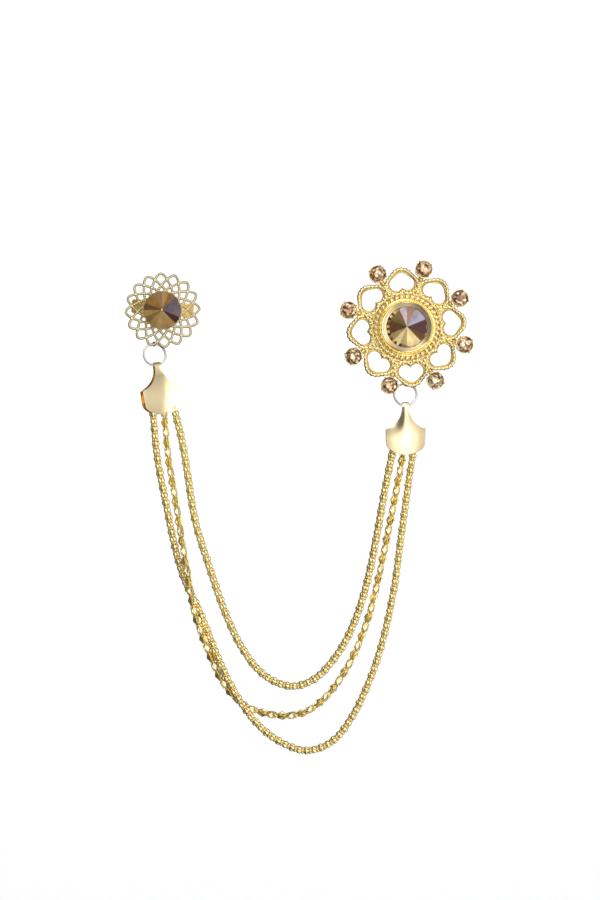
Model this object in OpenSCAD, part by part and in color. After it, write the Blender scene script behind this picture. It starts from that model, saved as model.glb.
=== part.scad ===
// Lapel chain: two brooches joined by three hanging strands of cage links.
// X right, Z up, the front faces -Y. The origin is the middle of the large
// brooch's bar pin, on the back face that lies on the cloth.

/* [Large brooch] */
// Diameter of the large brooch's centre stone
large_stone_d = 12.6; // [11:0.1:14]
// Radius of the bezel's outer rim
bezel_r = 8.0; // [7.6:0.1:9]
// Height of the bezel's rim above the casting's back
bezel_h = 4.1; // [3.6:0.1:5]
// Radius of the ring of beads round the bezel
bead_ring_r = 9.6; // [9.4:0.1:10.5]
// Number of beads in that ring
bead_count = 36; // [24:1:40]
// Radius of one bead of the ring
bead_r = 0.7; // [0.5:0.05:0.75]
// Number of hearts, and of small stones between them
heart_count = 8; // [8:1:8]
// Distance of the foot of a heart's lobes from the middle of the brooch
heart_foot = 10.1; // [9.8:0.1:10.5]
// Half the width of a heart across its lobes
heart_half_w = 5.4; // [5:0.1:5.5]
// Height of the notch between the lobes
heart_notch = 1.0; // [0.6:0.1:1.4]
// Outer radius of a heart's point
heart_tip_r = 3.8; // [3.4:0.1:4.2]
// Distance of a heart's point from the middle of the brooch
heart_reach = 18.7; // [18:0.1:20]
// Width of the heart's wire
heart_wire = 1.6; // [1.3:0.05:1.8]
// Thickness of the casting's openwork
casting_t = 1.5; // [1.2:0.1:2]
// Direction of the lowest heart's point, in degrees
heart_turn = -84; // [-90:1:-78]

/* [Small stones] */
// Distance of the small stones from the middle of the brooch
rim_stone_at = 18.9; // [18.4:0.1:20]
// Diameter of a small stone
rim_stone_d = 4.9; // [4.4:0.1:5.2]
// Wall of a small stone's cup
cup_wall = 0.2; // [0.2:0.05:0.4]
// Height of a small stone's cup above the casting's back
cup_h = 2.6; // [2.2:0.1:3]

/* [Small brooch] */
// Middle of the small brooch, to the left of the large one
small_x = -76.3; // [-90:0.1:-60]
// Middle of the small brooch, above the large one
small_z = 5.4; // [0:0.1:12]
// Diameter of the small brooch's stone
small_stone_d = 11.8; // [11:0.1:12.4]
// Number of petals in the filigree
petal_count = 16; // [16:1:16]
// Distance of the centres of a petal's two tip arcs from the middle
petal_at = 9.1; // [8.9:0.1:9.5]
// Middle radius of those tip arcs
petal_tip_r = 2.6; // [2.4:0.05:2.7]
// Distance of each tip arc's centre from the petal's axis, which makes the point
petal_tip_off = 0.84; // [0.7:0.01:1]
// Middle radius of a petal's side arcs
petal_side_r = 16; // [15:0.5:18]
// Angle from a petal's axis at which a tip arc meets a side arc
petal_join = 57; // [52:1:60]
// Width of the filigree's wire
filigree_wire = 0.8; // [0.6:0.01:0.85]
// Thickness of the filigree
filigree_t = 0.7; // [0.5:0.05:1]
// Direction of the first petal, in degrees
petal_turn = 3; // [0:1:10]

/* [Bar pins] */
// Length of a bar pin's plate
pin_l = 19.5; // [16:0.5:24]
// Height of the plate
pin_w = 4.6; // [4:0.1:6]
// Thickness of the plate
pin_t = 0.8; // [0.6:0.1:1.2]
// Distance of the needle behind the plate
needle_off = 2.3; // [2:0.1:3]
// Radius of the needle
needle_r = 0.35; // [0.3:0.01:0.45]
// Height of the small brooch's bar pin over that brooch's middle
small_pin_up = 0.6; // [0:0.1:1]
// Slant of the small brooch's bar pin, whose left end is the higher one
small_pin_slant = 5; // [0:1:8]
// Gap between pieces that are fitted to each other
fit_gap = 0.1; // [0.1:0.01:0.2]

/* [Jump rings] */
// Middle radius of a jump ring
ring_r = 3.5; // [3.2:0.05:3.8]
// Radius of a jump ring's wire
ring_wire_r = 0.34; // [0.28:0.01:0.38]
// Drop of the large jump ring's middle below the lowest heart's point
large_ring_drop = 2.3; // [2:0.1:2.6]
// Sideways place of the large brooch's jump ring
large_ring_x = -0.3; // [-0.6:0.1:0.2]
// Height of the small brooch's jump ring, from that brooch's middle
small_ring_z = -13.9; // [-14.2:0.1:-13.6]
// Sideways place of the small brooch's jump ring, from its middle
small_ring_x = -2.7; // [-3:0.1:-2.4]
// Lean of the jump rings, whose lower side stands off the cloth
ring_lean = 15; // [10:1:18]
// Turn of the small brooch's jump ring and end cap about the vertical
small_turn = 16; // [0:1:20]

/* [End caps] */
// Length of an end cap below its loop
cap_l = 15.3; // [14:0.1:17]
// Width of an end cap
cap_w = 12.4; // [11.8:0.1:13]
// Width of the cap's neck and of its loop
neck_w = 2.2; // [1.8:0.1:2.6]
// Height of the cap's shoulder above its lowest point
shoulder_z = 8.0; // [7.6:0.1:8.6]
// Height of the side's lower corner above the cap's lowest point
corner_z = 3.5; // [3:0.1:4]
// Half the depth of the cap over its leaves
cap_d = 2.4; // [2.3:0.05:2.6]
// Radius of the leaves' bulge
leaf_r = 30; // [28:1:34]
// Thickness of the leaves
leaf_t = 0.4; // [0.3:0.05:0.5]
// Outer radius of the loop
loop_r = 1.05; // [1:0.01:1.1]
// Radius of the hole in the loop
loop_bore_r = 0.58; // [0.52:0.01:0.62]
// Tilt of the small brooch's end cap, in degrees
small_cap_tilt = 9; // [8:0.5:10.5]

/* [Chains] */
// Pitch of the inner strand's links
inner_pitch = 2.22; // [2.2:0.01:2.34]
// Pitch of the middle strand's links
middle_pitch = 3.125; // [3.08:0.005:3.2]
// Radius of one dome of a link
dome_r = 0.54; // [0.5:0.01:0.56]
// Distance of a dome's centre from the chain's axis
dome_at = 0.78; // [0.76:0.01:0.82]
// Half width of a link's claws and arms
claw_w = 0.13; // [0.11:0.01:0.14]
// Half length of a diamond plate
diamond_l = 1.55; // [1.4:0.01:1.6]
// Half width of a diamond plate
diamond_w = 0.92; // [0.85:0.01:0.95]
// Distance of a diamond's face from the chain's axis
diamond_at = 0.95; // [0.92:0.01:1]
// Thickness of the links' sheet
link_t = 0.18; // [0.15:0.01:0.2]
// Radius of the outer strand
outer_strand_r = 1.3; // [1.2:0.05:1.35]

/* [Hidden] */
gold = "goldenrod";
silver = "silver";
topaz = "sienna";
champagne = "burlywood";
front_z = pin_t + fit_gap;
// Large brooch: disc under the beads, neck between hearts, cup, prong and the stones' heights
rosette_disc_r = max(bead_ring_r + 1.3, heart_foot + heart_notch + 0.1);
neck_half = 0.9;
cup_r = rim_stone_d / 2 + fit_gap + cup_wall;
prong_r = 0.3;
prong_h = 0.3;
spandrel_r = 0.6;
spandrel_at = [2, 3.4];
rim_culet_z = 0.7;
rim_culet_r = 0.3;
rim_table_r = 1.2;
rim_crown_h = 0.75;
rim_girdle_h = 0.2;
rim_pavilion_h = 1.5;
step_w = 0.6;
rim_w = 0.5;
large_culet_z = 0.6;
large_culet_r = 1.6;
pavilion_hole_r = large_culet_r + 0.3;
stone_table_r = 0.5;
stone_crown_h = 2;
stone_girdle_h = 0.4;
stone_sides = 16;
large_girdle_z = bezel_h - 1.1;
// Small brooch: collet and the stone's heights
collet_r = small_stone_d / 2 - 0.5;
small_culet_z = filigree_t + fit_gap;
small_culet_r = 3.4;
small_girdle_z = small_culet_z + 0.9;
// Jump rings: wire at the eyelet, height of the ring's top over its middle, depth of its foot
large_ring_z = -heart_reach - large_ring_drop;
eyelet_bore_r = ring_wire_r + 0.14;
eyelet_r = eyelet_bore_r + 0.3;
eyelet_w = 0.7;
wire_depth = front_z - eyelet_bore_r - 0.02;
ring_rise = ring_r * cos(ring_lean);
foot_y = -wire_depth - 2 * ring_r * sin(ring_lean);
// End caps: radius of the neck's flare and height of the leaves' bulge above the foot
flare_r = 6.6;
bulge_z = 4.5;
// Chains: radius of a link's hub and of the ring that its claws close to
hub_r = 0.5;
claw_r = 0.42;

// Centre line of each strand as [x, y, z], from the small brooch to the large one
inner_route = [[-73, -1.4, -23.5], [-72.2, -1.4, -27], [-70, -1.8, -36.4], [-68.4, -2.4, -46],
               [-66, -2.4, -60.5], [-61.5, -2.4, -75.3], [-56.5, -2.4, -89.5],
               [-51.5, -2.4, -100], [-45, -2.4, -108.2], [-37, -2.4, -112],
               [-29, -2.4, -110], [-21.5, -2.4, -102], [-16, -2.4, -91.3],
               [-12.2, -2.4, -79], [-9.3, -2.4, -65], [-7, -2.4, -52],
               [-4.6, -2.4, -40], [-4, -2.4, -36.5]];
middle_route = [[-76, -2.4, -24], [-75.6, -2.4, -28], [-74.4, -2.4, -40.5], [-72.2, -2.4, -54],
                [-69.8, -3, -68.6], [-67.8, -4.2, -80], [-66, -3.8, -89.5],
                [-62, -2.4, -101], [-57.3, -1.6, -111], [-51.5, -1.2, -117.6],
                [-45, -1.8, -120.4], [-37.5, -2.4, -121.3], [-30.5, -2.4, -119.6],
                [-23.5, -2.4, -113.5], [-17, -2.4, -103.4], [-12.2, -2.4, -91.4],
                [-8.8, -2.4, -78.5], [-5.8, -2.4, -64], [-3, -2.4, -50],
                [-1.3, -2.4, -40.5], [-0.8, -2.4, -36]];
outer_route = [[-79.6, -3.2, -23.5], [-79.1, -3.2, -27.5], [-77.8, -2.8, -41], [-75, -2.4, -56],
               [-72.2, -2.1, -69.5], [-69.2, -1.3, -79.5], [-65, -1.3, -88],
               [-61.6, -2.4, -96.5], [-57.6, -3.6, -106], [-52.6, -4, -115.6],
               [-47, -3.4, -123.3], [-40.3, -2.4, -129], [-31.5, -2.4, -132.2],
               [-23.4, -2.4, -129.4], [-17, -2.4, -121.6], [-11.3, -2.4, -109.7],
               [-7.2, -2.4, -97], [-3.8, -2.4, -81], [-1.8, -2.4, -66], [0.2, -2.4, -51.5],
               [1.8, -2.4, -40.5], [2.4, -2.4, -36.5]];

// Points of an arc about a centre
function arc(centre, r, from, to, steps) =
    [for (i = [0:steps]) centre + r * [cos(from + (to - from) * i / steps),
                                       sin(from + (to - from) * i / steps)]];

// Outline of a heart whose point lies along +Y, inset by a wall. The lobes' radius follows from
// the heart's half width and the height of its notch.
function heart(inset) =
    let (half = heart_half_w - inset,
         lobe = half + heart_notch - sqrt(2 * half * heart_notch),
         lobe_c = [half - lobe, heart_foot + inset + lobe],
         tip = heart_tip_r - inset,
         tip_c = [0, heart_reach - heart_tip_r],
         way = tip_c - lobe_c,
         lean = min(90, (atan2(way[1], way[0]) + 360) % 360 - acos((lobe - tip) / norm(way))),
         notch = asin((half - lobe) / lobe),
         right = concat(arc(lobe_c, lobe, -90 - notch, lean, 14), arc(tip_c, tip, lean, 90, 8)))
    concat(right, [for (i = [len(right) - 2:-1:1]) [-right[i][0], right[i][1]]]);

// Catmull-Rom point between the second and third of four points
function between(a, b, c, d, t) =
    0.5 * (2 * b + (c - a) * t + (2 * a - 5 * b + 4 * c - d) * t * t
           + (3 * b - a - 3 * c + d) * t * t * t);

// Fine points along a route
function fine(route, steps = 8) =
    let (n = len(route))
    concat([for (i = [0:n - 2], s = [0:steps - 1])
                between(route[max(i - 1, 0)], route[i], route[i + 1],
                        route[min(i + 2, n - 1)], s / steps)],
           [route[n - 1]]);

// Distance along the fine points up to each of them
function reach(points, i = 0, sum = 0, out = []) =
    i == len(points) ? out
    : reach(points, i + 1, sum + (i + 1 < len(points) ? norm(points[i + 1] - points[i]) : 0),
            concat(out, [sum]));

// Place and direction at a distance along the fine points
function along(points, dist, at, i = 0) =
    i + 2 >= len(points) || dist[i + 1] > at
    ? let (step = points[i + 1] - points[i], size = norm(step))
      [points[i] + step * (at - dist[i]) / size, step / size]
    : along(points, dist, at, i + 1);

// Sets its children at equal steps along a route, each turned 45 degrees to the last
module chain(route, pitch) {
    points = fine(route);
    dist = reach(points);
    total = dist[len(dist) - 1];
    count = floor(total / pitch);
    start = (total - (count - 1) * pitch) / 2;
    for (k = [0:count - 1]) {
        here = along(points, dist, start + k * pitch);
        t = here[1];
        side = cross([0, 1, 0], t) / norm(cross([0, 1, 0], t));
        up = cross(t, side);
        p = here[0];
        multmatrix([[side[0], up[0], t[0], p[0]],
                    [side[1], up[1], t[1], p[1]],
                    [side[2], up[2], t[2], p[2]]])
            rotate(k % 2 * 45) children();
    }
}

// Side outline of a link: foot, hub, arms and claws, which pass inside and round the next link's hub
function side_outline(foot, low, high, wide) =
    let (slim = wide - link_t,
         half = [[hub_r, foot - link_t], [wide, low], [wide, high], [claw_r, high],
                 [claw_r, high - link_t], [slim, high - link_t], [slim, low + 0.08],
                 [hub_r - 0.1, foot]])
    concat(half, [for (i = [len(half) - 1:-1:0]) [-half[i][0], half[i][1]]]);

// Square foot that the next link's claws close over
module hub(foot) {
    translate([0, 0, foot - link_t / 2]) cube([2 * hub_r - 0.2, 2 * hub_r - 0.2, link_t], center = true);
}

// Link with four round domes
module dome_link() {
    foot = -1.2;
    low = -0.76;
    high = 1.42;
    for (a = [0, 90]) {
        rotate(a) rotate([90, 0, 0]) linear_extrude(2 * claw_w, center = true)
            polygon(side_outline(foot, low, high, diamond_at));
    }
    hub(foot);
    for (a = [0:90:270]) {
        rotate(a) translate([dome_at, 0, 0]) rotate([90, 0, 0]) sphere(dome_r, $fn = 24);
    }
}

// Link with four flat diamond plates
module diamond_link() {
    foot = -1.75;
    low = -1.35;
    high = 1.72;
    shoulder = diamond_l * (1 - claw_w / diamond_w);
    front = [[claw_w, -2], [claw_w, -shoulder], [diamond_w, 0], [claw_w, shoulder], [claw_w, 2]];
    outline = concat(front, [for (i = [len(front) - 1:-1:0]) [-front[i][0], front[i][1]]]);
    for (a = [0, 90]) {
        rotate(a) intersection() {
            rotate([90, 0, 0]) linear_extrude(3, center = true)
                polygon(side_outline(foot, low, high, diamond_at));
            rotate([90, 0, 90]) linear_extrude(3, center = true) polygon(outline);
        }
    }
    hub(foot);
}

// Tube with round flats along a route
module tube(route, r, sides = 8) {
    points = fine(route, 2);
    n = len(points);
    rings = [for (i = [0:n - 1])
                let (t = points[min(i + 1, n - 1)] - points[max(i - 1, 0)],
                     side = cross([0, 1, 0], t) / norm(cross([0, 1, 0], t)),
                     up = cross(t, side) / norm(t))
                for (k = [0:sides - 1])
                    points[i] + r * (cos(360 * k / sides) * side + sin(360 * k / sides) * up)];
    faces = concat([[for (k = [sides - 1:-1:0]) k]],
                   [[for (k = [0:sides - 1]) (n - 1) * sides + k]],
                   [for (i = [0:n - 2], k = [0:sides - 1])
                       [i * sides + k, i * sides + (k + 1) % sides,
                        (i + 1) * sides + (k + 1) % sides, (i + 1) * sides + k]]);
    polyhedron(rings, faces);
}

// Stands a brooch drawn face up on the cloth plane, its front towards -Y
module worn(x = 0, z = 0) {
    translate([x, 0, z]) rotate([90, 0, 0]) children();
}

// Stone with a faceted crown, a table, a girdle and a faceted pavilion with a flat culet
module cut_stone(r, table_r, crown_h, girdle_h, pavilion_h, culet_r, sides) {
    levels = [[culet_r, 0], [r, pavilion_h], [r, pavilion_h + girdle_h],
              [table_r, pavilion_h + girdle_h + crown_h]];
    points = [for (l = levels, k = [0:sides - 1])
                 [l[0] * cos(360 * k / sides), l[0] * sin(360 * k / sides), l[1]]];
    faces = concat([[for (k = [0:sides - 1]) k]],
                   [[for (k = [sides - 1:-1:0]) 3 * sides + k]],
                   [for (i = [0:2], k = [0:sides - 1])
                       [i * sides + k, (i + 1) * sides + k, (i + 1) * sides + (k + 1) % sides,
                        i * sides + (k + 1) % sides]]);
    polyhedron(points, faces);
}

// Heart number k's frame, with the heart's point along +Y
module at_heart(k) {
    rotate(heart_turn - 90 + k * 360 / heart_count) children();
}

// Gap between heart k and the next
module at_gap(k) {
    at_heart(k + 0.5) children();
}

// Flat openwork of the large brooch
module rosette_sheet() {
    difference() {
        union() {
            circle(rosette_disc_r, $fn = 96);
            for (k = [0:heart_count - 1]) {
                at_heart(k) polygon(heart(0));
                at_gap(k) translate([-neck_half, bead_ring_r])
                    square([2 * neck_half, rim_stone_at - bead_ring_r]);
                at_gap(k) translate([0, rim_stone_at]) circle(cup_r, $fn = 48);
            }
        }
        for (k = [0:heart_count - 1]) {
            at_heart(k) polygon(heart(heart_wire));
        }
        circle(pavilion_hole_r, $fn = 48);
    }
}

// Bezel round the large stone, with a sloping polished band inside its rim
module bezel() {
    seat_r = large_stone_d / 2 + fit_gap;
    translate([0, 0, front_z]) rotate_extrude($fn = 96)
        polygon([[pavilion_hole_r, 0], [bezel_r + step_w, 0], [bezel_r + step_w, casting_t + 0.6],
                 [bezel_r, casting_t + 0.6], [bezel_r, bezel_h], [bezel_r - rim_w, bezel_h],
                 [seat_r, large_girdle_z + 0.5], [seat_r, large_girdle_z - fit_gap],
                 [pavilion_hole_r, large_culet_z - fit_gap]]);
}

// Cup and four prongs round a small stone
module stone_cup() {
    difference() {
        union() {
            cylinder(h = cup_h, r = cup_r, $fn = 48);
            for (a = [45:90:315]) {
                rotate(a) translate([cup_r + 0.05, 0, 0])
                    cylinder(h = cup_h + prong_h, r = prong_r, $fn = 24);
            }
        }
        translate([0, 0, rim_culet_z - fit_gap])
            cylinder(h = cup_h, r = rim_stone_d / 2 + fit_gap, $fn = 48);
    }
}

// Loop on a brooch's back that a jump ring passes through
module eyelet(x, y, turn) {
    translate([x, y, wire_depth]) rotate([0, turn, 0]) rotate([0, 90, 0]) difference() {
        cylinder(h = eyelet_w, r = eyelet_r, center = true, $fn = 48);
        cylinder(h = 2 * eyelet_w, r = eyelet_bore_r, center = true, $fn = 48);
    }
}

module large_rosette() {
    color(gold) worn() {
        translate([0, 0, front_z]) linear_extrude(casting_t) rosette_sheet();
        bezel();
        for (k = [0:bead_count - 1]) {
            rotate(k * 360 / bead_count) translate([bead_ring_r, 0, front_z + casting_t])
                sphere(bead_r, $fn = 24);
        }
        for (k = [0:heart_count - 1]) {
            at_gap(k) translate([0, rim_stone_at, front_z]) stone_cup();
            for (out = spandrel_at) {
                at_gap(k) translate([0, bead_ring_r + out, front_z + casting_t])
                    sphere(spandrel_r, $fn = 24);
            }
        }
        eyelet(large_ring_x, large_ring_z + ring_rise, 0);
    }
}

module large_stone() {
    color(topaz) worn() translate([0, 0, front_z + large_culet_z])
        cut_stone(large_stone_d / 2, stone_table_r, stone_crown_h, stone_girdle_h,
                  large_girdle_z - large_culet_z, large_culet_r, stone_sides);
}

module rim_stone(k) {
    color(champagne) worn() at_gap(k) translate([0, rim_stone_at, front_z + rim_culet_z])
        cut_stone(rim_stone_d / 2, rim_table_r, rim_crown_h, rim_girdle_h, rim_pavilion_h,
                  rim_culet_r, heart_count);
}

// Plate, hinge block, needle and catch, made as one plain piece
module bar_pin() {
    block_l = 1.6;
    block_w = 2;
    under = 0.6;
    sunk = 0.1;
    end_x = pin_l / 2 - 1.4;
    translate([-pin_l / 2, -pin_w / 2, 0]) cube([pin_l, pin_w, pin_t]);
    for (x = [-end_x, end_x]) {
        translate([x - block_l / 2, -block_w / 2, -needle_off - under])
            cube([block_l, block_w, needle_off + under + sunk]);
    }
    translate([-end_x, 0, -needle_off]) rotate([0, 90, 0]) cylinder(h = 2 * end_x, r = needle_r, $fn = 24);
}

module large_bar_pin() { color(gold) worn() bar_pin(); }

module small_bar_pin() {
    color(gold) worn(small_x, small_z + small_pin_up) rotate(-small_pin_slant) bar_pin();
}

// Flat ring of the filigree's wire
module wire_ring(r) {
    difference() {
        circle(r + filigree_wire / 2, $fn = 180);
        circle(r - filigree_wire / 2, $fn = 180);
    }
}

// Right half of a petal: a tip arc and a side arc, each a ring cut by straight lines
module petal_half() {
    past = 0.01;
    way = [sin(petal_join), cos(petal_join)];
    cut = [sin(petal_join + 1), cos(petal_join + 1)];
    tip = [-petal_tip_off, petal_at];
    join = tip + petal_tip_r * way;
    intersection() {
        translate(tip) wire_ring(petal_tip_r);
        polygon([tip + 0.6 * petal_tip_r * cut, tip + 1.5 * petal_tip_r * cut,
                 [-past, 1.5 * petal_at], [-past, petal_at]]);
    }
    intersection() {
        translate(join - petal_side_r * way) wire_ring(petal_side_r);
        polygon([[0, 2], [6, 2], [6, 8], join + 0.4 * way, join - 0.4 * way, [1, 8]]);
    }
}

// Flat lattice of crossing petals
module filigree_sheet() {
    for (k = [0:petal_count - 1]) {
        rotate(petal_turn - 90 + k * 360 / petal_count) {
            petal_half();
            mirror([1, 0]) petal_half();
        }
    }
    circle(collet_r, $fn = 96);
}

module small_filigree() {
    color(gold) worn(small_x, small_z) {
        translate([0, 0, front_z]) linear_extrude(filigree_t) filigree_sheet();
        translate([0, 0, front_z]) rotate_extrude($fn = 96)
            polygon([[0, 0], [collet_r, 0], [collet_r, small_girdle_z - fit_gap],
                     [small_culet_r, small_culet_z - fit_gap], [0, small_culet_z - fit_gap]]);
        eyelet(small_ring_x, small_ring_z + ring_rise, small_turn);
    }
}

module small_stone() {
    color(topaz) worn(small_x, small_z) translate([0, 0, front_z + small_culet_z])
        cut_stone(small_stone_d / 2, stone_table_r, stone_crown_h, stone_girdle_h,
                  small_girdle_z - small_culet_z, small_culet_r, stone_sides);
}

// Jump ring whose top lies at the eyelet and whose foot stands off the cloth
module jump_ring(x, z, turn) {
    translate([x, -wire_depth, z + ring_rise]) rotate([0, 0, turn]) rotate([90 - ring_lean, 0, 0])
        translate([0, -ring_r, 0]) rotate_extrude($fn = 96)
            translate([ring_r, 0]) circle(ring_wire_r, $fn = 24);
}

module large_jump_ring() { color(silver) jump_ring(large_ring_x, large_ring_z, 0); }

module small_jump_ring() {
    color(silver) jump_ring(small_x + small_ring_x, small_z + small_ring_z, small_turn);
}

// Outline of an end cap below its loop, half of it, from the neck to the foot
function cap_side() =
    let (flare_x = neck_w / 2 + flare_r,
         shoulder = shoulder_z - cap_l,
         flare_z = shoulder + sqrt(flare_r * flare_r - pow(flare_x - cap_w / 2, 2)),
         turn = atan2(flare_z - shoulder, flare_x - cap_w / 2),
         corner_x = cap_w / 2 - 0.15,
         steps = 12)
    concat([[neck_w / 2, -loop_r * 0.3]],
           arc([flare_x, flare_z], flare_r, 180, 180 + turn, 10),
           [for (i = [0:steps]) [corner_x * cos(90 * i / steps),
                                 corner_z * (1 - sin(90 * i / steps)) - cap_l]]);

// One leaf of an end cap, bulging towards -Y
module cap_leaf() {
    half = cap_side();
    outline = concat(half, [for (i = [len(half) - 2:-1:0]) [-half[i][0], half[i][1]]]);
    intersection() {
        rotate([90, 0, 0]) linear_extrude(cap_d + 1) polygon(outline);
        translate([0, leaf_r - cap_d, bulge_z - cap_l]) difference() {
            sphere(leaf_r, $fn = 180);
            sphere(leaf_r - leaf_t, $fn = 180);
        }
    }
}

// Folded cap with two leaves below the loop that the jump ring passes through
module end_cap() {
    difference() {
        union() {
            rotate([0, 90, 0]) cylinder(h = neck_w, r = loop_r, center = true, $fn = 48);
            cap_leaf();
            mirror([0, 1, 0]) cap_leaf();
        }
        rotate([0, 90, 0]) cylinder(h = 2 * neck_w, r = loop_bore_r, center = true, $fn = 48);
    }
}

module large_end_cap() {
    color(gold) translate([large_ring_x, foot_y, large_ring_z - ring_rise]) end_cap();
}

module small_end_cap() {
    color(gold) translate([small_x + small_ring_x, -wire_depth, small_z + small_ring_z + ring_rise])
        rotate([0, 0, small_turn]) rotate([-ring_lean, 0, 0]) translate([0, 0, -ring_r])
        rotate([0, -small_cap_tilt, 0]) translate([0, 0, -ring_r]) rotate([ring_lean, 0, 0]) end_cap();
}

module strand_inner() { color(gold) chain(inner_route, inner_pitch) dome_link(); }
module strand_middle() { color(gold) chain(middle_route, middle_pitch) diamond_link(); }
module strand_outer() { color(gold) tube(outer_route, outer_strand_r); }

large_rosette();
large_stone();
rim_stone(1);  // rim_stone_1
rim_stone(2);  // rim_stone_2
rim_stone(3);  // rim_stone_3
rim_stone(4);  // rim_stone_4
rim_stone(5);  // rim_stone_5
rim_stone(6);  // rim_stone_6
rim_stone(7);  // rim_stone_7
rim_stone(8);  // rim_stone_8
large_bar_pin();
small_filigree();
small_stone();
small_bar_pin();
large_jump_ring();
small_jump_ring();
large_end_cap();
small_end_cap();
strand_inner();
strand_middle();
strand_outer();
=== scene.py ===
import math
import random

import bpy
from mathutils import Matrix, Vector


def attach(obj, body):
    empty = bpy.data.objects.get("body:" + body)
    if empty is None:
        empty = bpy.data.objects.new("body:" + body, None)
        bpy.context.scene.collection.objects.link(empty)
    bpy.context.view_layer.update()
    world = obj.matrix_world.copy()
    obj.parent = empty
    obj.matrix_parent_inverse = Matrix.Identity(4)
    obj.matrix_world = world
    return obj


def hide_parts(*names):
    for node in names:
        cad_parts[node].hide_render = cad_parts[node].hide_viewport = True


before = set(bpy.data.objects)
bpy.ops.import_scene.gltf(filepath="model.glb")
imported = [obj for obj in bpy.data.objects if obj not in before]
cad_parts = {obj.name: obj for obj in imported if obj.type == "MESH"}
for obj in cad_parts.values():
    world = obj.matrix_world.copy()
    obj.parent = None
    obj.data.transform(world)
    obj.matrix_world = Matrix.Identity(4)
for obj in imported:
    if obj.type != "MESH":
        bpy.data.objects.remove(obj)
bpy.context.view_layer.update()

# Everything is modelled in millimetres, each brooch face up, and laid in its place at the end.
millimetre = 0.001
smallMiddle = (-76.3, 5.4)    # x and z of the small brooch's middle
backOfCastings = 0.9          # height of the brooches' backs over the cloth
ringLean = 15                 # degrees by which the jump rings stand off the cloth
smallTurn = 16                # degrees by which the small brooch's ring and cap are turned
eyeletDepth = 0.4             # height of the rings' wire over the cloth, where the eyelets hold it
ringRadius, ringWire = 3.5, 0.34
ringRise = ringRadius * math.cos(math.radians(ringLean))      # height of a ring's top over its middle
largeRing = (-0.3, -21.0)     # x and z of the large brooch's ring
smallRing = (-2.7, -13.9)     # the same for the small brooch's ring, from that brooch's middle


def intoScene(item):
    bpy.context.scene.collection.objects.link(item)


def onlySelect(*chosen):
    if bpy.context.object and bpy.context.object.mode != 'OBJECT':
        bpy.ops.object.mode_set(mode='OBJECT')
    bpy.ops.object.select_all(action='DESELECT')
    for item in chosen:
        item.select_set(True)
    bpy.context.view_layer.objects.active = chosen[0]


def editAll(item):
    onlySelect(item)
    bpy.ops.object.mode_set(mode='EDIT')
    bpy.ops.mesh.select_mode(type='VERT')
    bpy.ops.mesh.select_all(action='SELECT')


def leaveEdit():
    bpy.ops.object.mode_set(mode='OBJECT')


def applyModifier(item, kind, **values):
    onlySelect(item)
    modifier = item.modifiers.new(kind.title(), kind)
    for key, value in values.items():
        setattr(modifier, key, value)
    bpy.ops.object.modifier_apply(modifier=modifier.name)


def tidyShell(item):
    editAll(item)
    bpy.ops.mesh.remove_doubles(threshold=0.0005)
    bpy.ops.mesh.normals_make_consistent(inside=False)
    leaveEdit()
    return item


def moved(item, matrix):
    item.data.transform(matrix)
    if matrix.determinant() < 0:
        item.data.flip_normals()
    return item


def copyOf(item, matrix):
    twin = item.copy()
    twin.data = item.data.copy()
    intoScene(twin)
    return moved(twin, matrix)


def joined(name, items):
    onlySelect(*items)
    if len(items) > 1:
        bpy.ops.object.join()
    whole = bpy.context.view_layer.objects.active
    whole.name = whole.data.name = name
    return whole


def thrownAway(*items):
    for item in items:
        bpy.data.objects.remove(item)


def shift(x=0, y=0, z=0):
    return Matrix.Translation((x, y, z))


def turn(degrees, axis='Z'):
    return Matrix.Rotation(math.radians(degrees), 4, axis)


def spread(x=1, y=1, z=1):
    return Matrix.Diagonal((x, y, z, 1))


metre = spread(millimetre, millimetre, millimetre)


def worn(x=0, z=0):
    return metre @ shift(x, 0, z) @ turn(90, 'X')


def placedAs(name, items, matrix, material, nodes, angle=40, band=None):
    # band is a second finish and a test that picks the faces it goes on, while they lie face up
    piece = joined(name, items)
    picked = [i for i, face in enumerate(piece.data.polygons) if band and band[1](face)]
    moved(piece, matrix)
    onlySelect(piece)
    bpy.ops.object.shade_smooth_by_angle(angle=math.radians(angle))
    piece.data.materials.clear()
    piece.data.materials.append(material)
    piece.data.polygons.foreach_set("material_index", [0] * len(piece.data.polygons))
    if band:
        piece.data.materials.append(band[0])
        for i in picked:
            piece.data.polygons[i].material_index = 1
    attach(piece, "root")
    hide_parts(*nodes)
    print("made", name, len(piece.data.polygons), "faces")


def outlineMesh(name, points, closed=True):
    mesh = bpy.data.meshes.new(name)
    count = len(points)
    edges = [(i, i + 1) for i in range(count - 1)] + ([(count - 1, 0)] if closed else [])
    mesh.from_pydata([tuple(p) for p in points], edges, [])
    item = bpy.data.objects.new(name, mesh)
    intoScene(item)
    return item


def spunProfile(name, profile, steps=96, axis=(0, 0, 1), closed=True):
    # profile points are radius and height, turned round the axis
    across = Vector((1, 0, 0)) if axis[2] else Vector((0, 0, 1))
    points = [across * r + Vector(axis) * h for r, h in profile]
    item = outlineMesh(name, points, closed)
    editAll(item)
    bpy.ops.mesh.spin(steps=steps, angle=math.tau, center=(0, 0, 0), axis=axis)
    leaveEdit()
    return tidyShell(item)


def addSpline(curve, places, closed=True):
    spline = curve.splines.new('POLY')
    spline.points.add(len(places) - 1)
    for point, place in zip(spline.points, places):
        point.co = (*place, 0, 1) if len(place) == 2 else (*place, 1)
    spline.use_cyclic_u = closed
    return spline


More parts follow.
